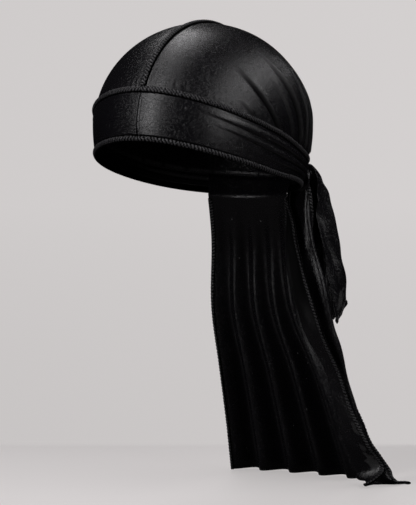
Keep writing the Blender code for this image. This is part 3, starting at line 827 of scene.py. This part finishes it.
def tie_tails(satin, thread):
    """The short end, which arcs over the knot, and the long end, which reaches the floor."""
    over, under = tail_root(1), tail_root(-1)
    size = (SHORT_TAIL_LENGTH, SHORT_TAIL_REACH, SHORT_TAIL_WIDTH, SHORT_TAIL_SLANT)
    short = tail_surface(SHORT_TAIL, SHORT_TAIL_GRID, over, *size)
    short = creased(short, SHORT_CREASE_SEED, *SHORT_CREASE)
    # painted light shining through the short end, in patches
    shine_through = shine_through_marks(0, short)
    piece = cloth_sheet("tie_tail_short", short, TAIL_WALL, satin, ["tie_tail_short"], shine_through=shine_through)
    normals = grid_normals(short)
    hems = [edge_hem("short_tail_hem", short[:, -1], short[:, -3], normals[:, -1], TAIL_WALL, thread)]
    size = (FLOOR_DROP + under[2] - CLOTH_WALL, LONG_TAIL_REACH, LONG_TAIL_WIDTH, 0.0)
    long = tail_surface(LONG_TAIL, LONG_TAIL_GRID, under, *size)
    drawn = 1 - smooth_step(running_length(long, 1), 0.0, TAIL_TUCK_REACH)
    long = creased(long, LONG_CREASE_SEED, *LONG_CREASE) + TAIL_TUCK * drawn[..., None] * knot_frame()[3]
    share = np.linspace(0.0, 1.0, LONG_TAIL_GRID[0])[:, None]
    along = np.linspace(0.0, 1.0, LONG_TAIL_GRID[1])
    # painted shade over the edge quarter of the long end's width in its upper third, faded out across and
    # down
    shade = FRONT_SHADE * (1 - smooth_step(share, *FRONT_SHADE_ACROSS))
    shade = shade * (1 - smooth_step(along, *FRONT_SHADE_ALONG))
    # painted light shining through the long end, in patches
    shine_through = shine_through_marks(1, long)
    piece = cloth_sheet("tie_tail_long", long, TAIL_WALL, satin, ["tie_tail_long"], shade, shine_through)
    normals = grid_normals(long)
    hems = [
        edge_hem("long_tail_hem_a", long[0], long[2], normals[0], TAIL_WALL, thread),
        edge_hem("long_tail_hem_b", long[-1], long[-3], normals[-1], TAIL_WALL, thread),
    ]


# Cape

def cape(satin, thread):
    """The flap behind the neck: hung from under the band, folded like a curtain, splayed at the floor.

    x is the hollow's own times the station's half width. y is the hollow's own, made flatter and moved
    back, plus a wave of cos(pi * CAPE_FOLDS * across + CAPE_FOLD_PHASE + CAPE_FOLD_DRIFT * along).
    """
    rows, columns = CAPE_GRID
    under = CAPE_TOP_ROWS
    drops = np.concatenate([np.zeros(under), np.linspace(0.0, 1.0, columns)])
    at = smooth_row(CAPE, drops)
    across = np.linspace(-1.0, 1.0, rows)[:, None]
    bearing = 180.0 - CAPE_HALF_SWEEP * across
    release = band_bottom(bearing) - RIDGE_WIDTH
    level = release + (CLOTH_WALL - FLOOR_DROP - release) * at.drop
    top = band_middle(bearing) - CAPE_TUCK
    level[:, :under] = top + (release - top) * np.linspace(0.0, 1.0, under + 1)[:-1]
    held = hollow_surface(bearing, np.maximum(level, release))
    nape = hollow_surface(180.0, release.min())
    hung = smooth_step(release - level, 0.0, CAPE_EASE)
    wave = hung * np.cos(np.pi * CAPE_FOLDS * across + CAPE_FOLD_PHASE + CAPE_FOLD_DRIFT * at.along)
    x = held[..., 0] * at.half_width + at.side * CAPE_SPREAD
    y = nape[1] + (held[..., 1] - nape[1]) * at.roundness + at.back * CAPE_REACH
    y = y + wave * at.fold * CAPE_FOLD
    sheet = np.stack([x, y, level + 0 * wave], axis=-1)[::-1]
    piece = cloth_sheet("cape", sheet, TAIL_WALL, satin, ["cape"])
    free, normals = sheet[:, under + 2:], grid_normals(sheet)[:, under + 2:]
    hems = [
        edge_hem("cape_hem_left", free[0], free[2], normals[0], TAIL_WALL, thread),
        edge_hem("cape_hem_right", free[-1], free[-3], normals[-1], TAIL_WALL, thread),
    ]


# Materials

SOCKET_KINDS = {"Colour": "NodeSocketColor", "Place": "NodeSocketVector"}


def feed(tree, node, values):
    """Links each named input of a node to a socket, or sets it to a value."""
    for key, value in values.items():
        if isinstance(value, bpy.types.NodeSocket):
            tree.links.new(value, node.inputs[key])
        else:
            node.inputs[key].default_value = value


def add_node(tree, kind, values=(), **settings):
    """A node with its settings and its inputs."""
    made = tree.nodes.new(kind)
    for key, value in settings.items():
        setattr(made, key, value)
    feed(tree, made, dict(values))
    return made


def math(tree, operation, first, second=0.0, third=0.0):
    """The result of a math node."""
    return add_node(tree, "ShaderNodeMath", {0: first, 1: second, 2: third}, operation=operation).outputs[0]


def mixed(tree, share, first, second, kind="RGBA"):
    """The first colour, or number where the kind is FLOAT, turned into the second by a share."""
    values = {"Factor": share, "A": first, "B": second}
    return add_node(tree, "ShaderNodeMix", values, data_type=kind).outputs["Result"]


def ranged(tree, value, start, end, to_start=0.0, to_end=1.0):
    """A value that runs from to_start to to_end while another runs from its start to its end."""
    values = {"Value": value, "From Min": start, "From Max": end, "To Min": to_start, "To Max": to_end}
    return add_node(tree, "ShaderNodeMapRange", values).outputs["Result"]


def new_group(name, inputs, outputs):
    """An empty node group with named inputs, of which only a place has no value, and named outputs."""
    tree = bpy.data.node_groups.new(name, "ShaderNodeTree")
    for label, value in inputs.items():
        kind = SOCKET_KINDS.get(label, "NodeSocketFloat")
        socket = tree.interface.new_socket(label, in_out="INPUT", socket_type=kind)
        if value is not None:
            socket.default_value = value
    for label in outputs:
        kind = SOCKET_KINDS.get(label, "NodeSocketFloat")
        tree.interface.new_socket(label, in_out="OUTPUT", socket_type=kind)
    return tree, tree.nodes.new("NodeGroupInput").outputs, tree.nodes.new("NodeGroupOutput")


def weave_group():
    """Satin's fine ribs: sines across and along the cloth, the second broken up as the floats are."""
    tree, given, made = new_group("satin_weave", {"Place": None, "Threads": 3200.0}, ["Height"])
    split = add_node(tree, "ShaderNodeSeparateXYZ", {0: given["Place"]})
    turns = math(tree, "MULTIPLY", given["Threads"], 2 * np.pi)
    rib = math(tree, "SINE", math(tree, "MULTIPLY", split.outputs[0], turns))
    shifted = math(tree, "MULTIPLY", split.outputs[1], math(tree, "MULTIPLY", turns, WEAVE_LENGTHWISE))
    float_end = math(tree, "SINE", math(tree, "ADD", shifted, math(tree, "MULTIPLY", rib, WEAVE_SHIFT)))
    feed(tree, made, {"Height": math(tree, "MULTIPLY_ADD", float_end, WEAVE_FLOAT, rib)})
    return tree


def crinkle_group():
    """Soft crinkles, fine grain, wide blotches, and curly lines where a warped noise crosses its middle."""
    inputs = {"Place": None, "Per metre": 180.0}
    tree, given, made = new_group("cloth_crinkle", inputs, [noise.name for noise in CLOTH_NOISE])
    results = {}
    for noise in CLOTH_NOISE:
        scale = math(tree, "MULTIPLY", given["Per metre"], noise.scale)
        values = {"Vector": given["Place"], "Scale": scale, "Detail": noise.detail,
                  "Roughness": noise.rough, "Distortion": noise.warp}
        results[noise.name] = add_node(tree, "ShaderNodeTexNoise", values).outputs["Fac"]
    apart = math(tree, "ABSOLUTE", math(tree, "SUBTRACT", results["Curl"], 0.5))
    apart = math(tree, "MINIMUM", math(tree, "MULTIPLY", apart, CURL_SHARPNESS), 1.0)
    results["Curl"] = math(tree, "SUBTRACT", 1.0, apart)
    feed(tree, made, results)
    return tree


def lint_group():
    """A sparse mask of tiny flecks: near the centres of a few Voronoi cells."""
    tree, given, made = new_group("lint", {"Place": None, "Per metre": 170.0, "Share": 0.1}, ["Mask"])
    cells = add_node(tree, "ShaderNodeTexVoronoi", {"Vector": given["Place"], "Scale": given["Per metre"]})
    near = math(tree, "LESS_THAN", cells.outputs["Distance"], LINT_REACH)
    tint = add_node(tree, "ShaderNodeSeparateXYZ", {0: cells.outputs["Color"]})
    few = math(tree, "LESS_THAN", tint.outputs[0], given["Share"])
    feed(tree, made, {"Mask": math(tree, "MULTIPLY", near, few)})
    return tree


def marks_group():
    """What the painted marks do: light shining through is painted lighter, and painted shade goes black and
    mirrors nothing.
    """
    inputs = {"Colour": SHINE_THROUGH_COLOUR, "Roughness": 0.5, "Shine through": 0.0, "Painted shade": 0.0}
    tree, given, made = new_group("painted_light_and_shade", inputs, ["Colour", "Roughness", "Metallic"])
    lighter = mixed(tree, given["Shine through"], given["Colour"], SHINE_THROUGH_COLOUR)
    feed(tree, made, {
        "Colour": mixed(tree, given["Painted shade"], lighter, PAINTED_SHADE_COLOUR),
        "Roughness": mixed(tree, given["Painted shade"], given["Roughness"], PAINTED_SHADE_ROUGHNESS, "FLOAT"),
        "Metallic": given["Painted shade"],
    })
    return tree


def new_material(name):
    """A material, its node tree and its shader."""
    material = bpy.data.materials.new(name)
    material.use_nodes = True
    return material, material.node_tree, material.node_tree.nodes["Principled BSDF"]


def cloth_material(finish, groups):
    """A cloth finish: weave, crinkle, grain and curls in its bump, grain in its roughness, blotches and
    lint in its colour, and then its painted light and shade.
    """
    material, tree, shader = new_material(finish.name)
    place = add_node(tree, "ShaderNodeTexCoord").outputs["Object"]
    flat = add_node(tree, "ShaderNodeUVMap", uv_map="cloth").outputs["UV"]
    ribs = add_node(tree, "ShaderNodeGroup", {"Place": flat}, node_tree=groups["weave"]).outputs
    folds = add_node(tree, "ShaderNodeGroup", {"Place": place}, node_tree=groups["crinkle"]).outputs
    flecks = add_node(tree, "ShaderNodeGroup", {"Place": place}, node_tree=groups["lint"]).outputs
    height = math(tree, "MULTIPLY", ribs["Height"], finish.weave)
    for label, share in (("Height", finish.crinkle), ("Grain", GRAIN_HEIGHT), ("Curl", CURL_HEIGHT)):
        height = math(tree, "MULTIPLY_ADD", folds[label], share, height)
    bump = add_node(tree, "ShaderNodeBump", {"Height": height, "Distance": 1.0, "Strength": 1.0})
    colour = mixed(tree, folds["Blotch"], finish.dark, finish.light)
    marked = add_node(tree, "ShaderNodeGroup", {
        "Colour": mixed(tree, flecks["Mask"], colour, LINT_COLOUR),
        "Roughness": ranged(tree, folds["Grain"], 0.0, 1.0, finish.smooth, finish.rough),
        # painted light shining through the cloth, and painted shade, from the pieces' own marks
        "Shine through": add_node(tree, "ShaderNodeAttribute", attribute_name="shine_through").outputs["Fac"],
        "Painted shade": add_node(tree, "ShaderNodeAttribute", attribute_name="painted_shade").outputs["Fac"],
    }, node_tree=groups["marks"]).outputs
    feed(tree, shader, {
        "Base Color": marked["Colour"],
        "Roughness": marked["Roughness"],
        "Metallic": marked["Metallic"],
        "Normal": bump.outputs["Normal"],
        "Specular IOR Level": finish.specular,
    })
    return material


# Studio

# Camera: angles in degrees, metres, and the pixel where the hollow's middle lies
CAMERA_AZIMUTH = 30.0
CAMERA_PITCH = 4.7
CAMERA_DISTANCE = 2.38
PICTURE = (416, 505)
PIXELS_PER_METRE = 1280.0
AXIS_PIXEL = (203.0, 125.0)
FLOOR = -(FLOOR_DROP + CROWN_HEIGHT)

# Arcs of soft light, by their share of the way, the azimuth from the camera's own and the elevation in
# degrees, and the width of the strip in metres
ARC_DISTANCE = 1.5
ARC_STEPS = 40
LEFT_ARC = table(
    "along azimuth elevation width",
    (0.00, -43.0, -8.0, 0.36),
    (0.15, -44.0, 15.0, 0.36),
    (0.30, -47.0, 35.0, 0.36),
    (0.43, -54.0, 52.0, 0.30),
    (0.56, -72.0, 67.0, 0.18),
    (0.68, -118.0, 74.0, 0.18),
    (0.80, -156.0, 64.0, 0.20),
    (0.90, -170.0, 52.0, 0.24),
    (1.00, -176.0, 40.0, 0.24),
)
RIGHT_ARC = table(
    "along azimuth elevation width",
    (0.00, 40.0, 0.0, 0.28),
    (0.16, 44.0, 14.0, 0.30),
    (0.32, 56.0, 28.0, 0.32),
    (0.48, 76.0, 39.0, 0.32),
    (0.64, 98.0, 41.0, 0.24),
    (0.78, 118.0, 36.0, 0.14),
    (0.90, 136.0, 28.0, 0.06),
    (1.00, 150.0, 20.0, 0.03),
)
ARC_COLOUR = (1.0, 0.985, 1.0, 1.0)
LEFT_STRENGTH = 5.6
RIGHT_STRENGTH = 4.2
ROOM_LIGHT = 0.004

# Floor and wall: where the wall's foot lies behind the origin, and their tones as shares of white
FLOOR_SIZE = 4.0
WALL_FOOT = (0.268, 0.286)
WALL_DEPTH = (0.3, 3.4)
WALL_TONE = (0.590, 0.640)
WALL_TONE_ASIDE = 0.20
WALL_ASIDE_LIMIT = 0.25
WALL_NEAR = 0.2
WALL_TINT = (1.0, 0.962, 0.957)
FLOOR_GLOW = (0.42, 0.34)
FLOOR_ALBEDO = 0.40
FLOOR_MIRRORED = 0.08


def camera_axes(azimuth, pitch):
    """Right and towards-camera directions of a camera at that azimuth, looking down by that pitch."""
    turn, dip = np.radians(azimuth), np.radians(pitch)
    right = Vector((np.cos(turn), np.sin(turn), 0.0))
    toward = Vector((np.sin(turn) * np.cos(dip), -np.cos(turn) * np.cos(dip), np.sin(dip)))
    return right, toward


def camera_target():
    """The point in the middle of the picture, from the pixel where the hollow's middle lies."""
    right, _ = camera_axes(CAMERA_AZIMUTH, CAMERA_PITCH)
    aside = (PICTURE[0] / 2 - AXIS_PIXEL[0]) / PIXELS_PER_METRE
    below = (PICTURE[1] / 2 - AXIS_PIXEL[1]) / PIXELS_PER_METRE / np.cos(np.radians(CAMERA_PITCH))
    return right * aside - Vector((0.0, 0.0, below + CROWN_HEIGHT))


def add_camera():
    """The scene's camera, at the photograph's viewing angle."""
    _, toward = camera_axes(CAMERA_AZIMUTH, CAMERA_PITCH)
    lens = bpy.data.cameras.new("camera")
    lens.sensor_fit = "VERTICAL"
    lens.sensor_height = 36.0
    lens.lens = lens.sensor_height * CAMERA_DISTANCE * PIXELS_PER_METRE / PICTURE[1]
    camera = in_scene("camera", lens)
    camera.location = camera_target() + toward * CAMERA_DISTANCE
    camera.rotation_euler = (-toward).to_track_quat("-Z", "Y").to_euler()
    bpy.context.scene.camera = camera


def light_arc(name, stations, strength):
    """A bent strip of soft light round the hollow: a glowing ribbon through its table's directions."""
    at = smooth_row(stations, np.linspace(0.0, 1.0, ARC_STEPS))
    turn, rise = np.radians(CAMERA_AZIMUTH + at.azimuth), np.radians(at.elevation)
    heading = np.stack([np.sin(turn) * np.cos(rise), -np.cos(turn) * np.cos(rise), np.sin(rise)], axis=-1)
    across = unit(np.cross(heading, np.gradient(heading, axis=0))) * at.width[:, None] / 2
    middle = heading * ARC_DISTANCE + np.array([0.0, 0.0, -CROWN_HEIGHT])
    edges = np.concatenate([middle - across, middle + across])
    first = np.arange(ARC_STEPS - 1)
    quads = np.stack([first, first + 1, first + 1 + ARC_STEPS, first + ARC_STEPS], axis=1)
    mesh = bpy.data.meshes.new(name)
    mesh.from_pydata(edges.tolist(), [], quads.tolist())
    ribbon = in_scene(name, mesh)
    ribbon.visible_camera = False
    material, tree, shader = new_material(name)
    feed(tree, shader, {
        "Base Color": (0.0, 0.0, 0.0, 1.0),
        "Specular IOR Level": 0.0,
        "Emission Color": ARC_COLOUR,
        "Emission Strength": strength,
    })
    mesh.materials.append(material)


def backdrop_group():
    """The wall's tone by depth behind the object and by how far aside it lies, as a share of white."""
    tree, given, made = new_group("backdrop_tone", {"Depth": 0.0, "Aside": 0.0}, ["Tone"])
    far = ranged(tree, given["Depth"], *WALL_DEPTH, *WALL_TONE)
    aside = math(tree, "MAXIMUM", given["Aside"], -WALL_ASIDE_LIMIT)
    aside = math(tree, "MINIMUM", aside, WALL_ASIDE_LIMIT)
    feed(tree, made, {"Tone": math(tree, "MULTIPLY_ADD", aside, WALL_TONE_ASIDE, far)})
    return tree


def turned_place(tree, place):
    """The camera's own axes in plan: X to its right and Y away from it, both from the frame's origin."""
    rotation = (0.0, 0.0, -np.radians(CAMERA_AZIMUTH))
    turned = add_node(tree, "ShaderNodeMapping", {"Vector": place, "Rotation": rotation})
    return add_node(tree, "ShaderNodeSeparateXYZ", {0: turned.outputs[0]}).outputs


def tinted(tree, tone, tint):
    """A colour from a tone and a tint of three numbers."""
    parts = [math(tree, "MULTIPLY", tone, part) for part in tint]
    return add_node(tree, "ShaderNodeCombineColor", dict(zip(("Red", "Green", "Blue"), parts))).outputs[0]


def backdrop(group):
    """The wall: a tone that only the camera sees, round a dim room that the cloth mirrors."""
    world = bpy.data.worlds.new("studio")
    world.use_nodes = True
    bpy.context.scene.world = world
    tree = world.node_tree
    tree.nodes.clear()
    place = turned_place(tree, add_node(tree, "ShaderNodeTexCoord").outputs["Generated"])
    aside = math(tree, "DIVIDE", place[0], math(tree, "MAXIMUM", place[1], WALL_NEAR))
    values = {"Depth": WALL_DEPTH[1], "Aside": aside}
    tone = add_node(tree, "ShaderNodeGroup", values, node_tree=group).outputs["Tone"]
    seen = add_node(tree, "ShaderNodeBackground", {"Color": tinted(tree, tone, WALL_TINT)})
    room = add_node(tree, "ShaderNodeBackground", {"Color": (ROOM_LIGHT, ROOM_LIGHT, ROOM_LIGHT, 1.0)})
    ray = add_node(tree, "ShaderNodeLightPath").outputs["Is Camera Ray"]
    mix = add_node(tree, "ShaderNodeMixShader", {0: ray, 1: room.outputs[0], 2: seen.outputs[0]})
    add_node(tree, "ShaderNodeOutputWorld", {"Surface": mix.outputs[0]})


def floor_plane(group):
    """The pale floor: it takes shadows up to the wall's foot and glows with the wall's tone beyond it.

    Only the camera sees the glow and the full albedo; the cloth mirrors a dim floor.
    """
    size = FLOOR_SIZE
    corners = [(-size, -size, FLOOR), (size, -size, FLOOR), (size, size, FLOOR), (-size, size, FLOOR)]
    mesh = bpy.data.meshes.new("floor")
    mesh.from_pydata(corners, [], [(0, 1, 2, 3)])
    in_scene("floor", mesh)
    material, tree, shader = new_material("pale_floor")
    place = turned_place(tree, add_node(tree, "ShaderNodeTexCoord").outputs["Object"])
    from_camera = math(tree, "ADD", place[1], CAMERA_DISTANCE)
    aside = math(tree, "DIVIDE", place[0], math(tree, "MAXIMUM", from_camera, WALL_NEAR))
    values = {"Depth": place[1], "Aside": aside}
    wall = add_node(tree, "ShaderNodeGroup", values, node_tree=group).outputs["Tone"]
    beyond = ranged(tree, place[1], *WALL_FOOT)
    near = ranged(tree, place[1], 0.0, WALL_FOOT[0], *FLOOR_GLOW)
    glow = mixed(tree, beyond, near, wall, "FLOAT")
    seen = add_node(tree, "ShaderNodeLightPath").outputs["Is Camera Ray"]
    kept = math(tree, "MULTIPLY_ADD", seen, FLOOR_ALBEDO - FLOOR_MIRRORED, FLOOR_MIRRORED)
    albedo = math(tree, "MULTIPLY", kept, math(tree, "SUBTRACT", 1.0, beyond))
    feed(tree, shader, {
        "Base Color": tinted(tree, albedo, WALL_TINT),
        "Roughness": 0.9,
        "Specular IOR Level": 0.0,
        "Emission Color": tinted(tree, glow, WALL_TINT),
        "Emission Strength": seen,
    })
    mesh.materials.append(material)


# Build

bpy.context.scene.view_settings.view_transform = "Standard"
add_camera()
light_arc("left_softbox", LEFT_ARC, LEFT_STRENGTH)
light_arc("right_softbox", RIGHT_ARC, RIGHT_STRENGTH)
wall_tone = backdrop_group()
backdrop(wall_tone)
floor_plane(wall_tone)
groups = {
    "weave": weave_group(),
    "crinkle": crinkle_group(),
    "lint": lint_group(),
    "marks": marks_group(),
}
satin, thread = [cloth_material(finish, groups) for finish in FINISHES]

for side, word in ((1, "left"), (-1, "right")):
    half = crown_half("crown_" + word, side, satin)
    band = strap("brow_strap_" + word, side, satin)
    band_ridge("band_seam_" + word, side, 1, SEAM_SLANT, thread)
    band_ridge("band_hem_" + word, side, -1, HEM_SLANT, thread)
centre_seam(thread)
knot(satin)
tie_tails(satin, thread)
cape(satin, thread)
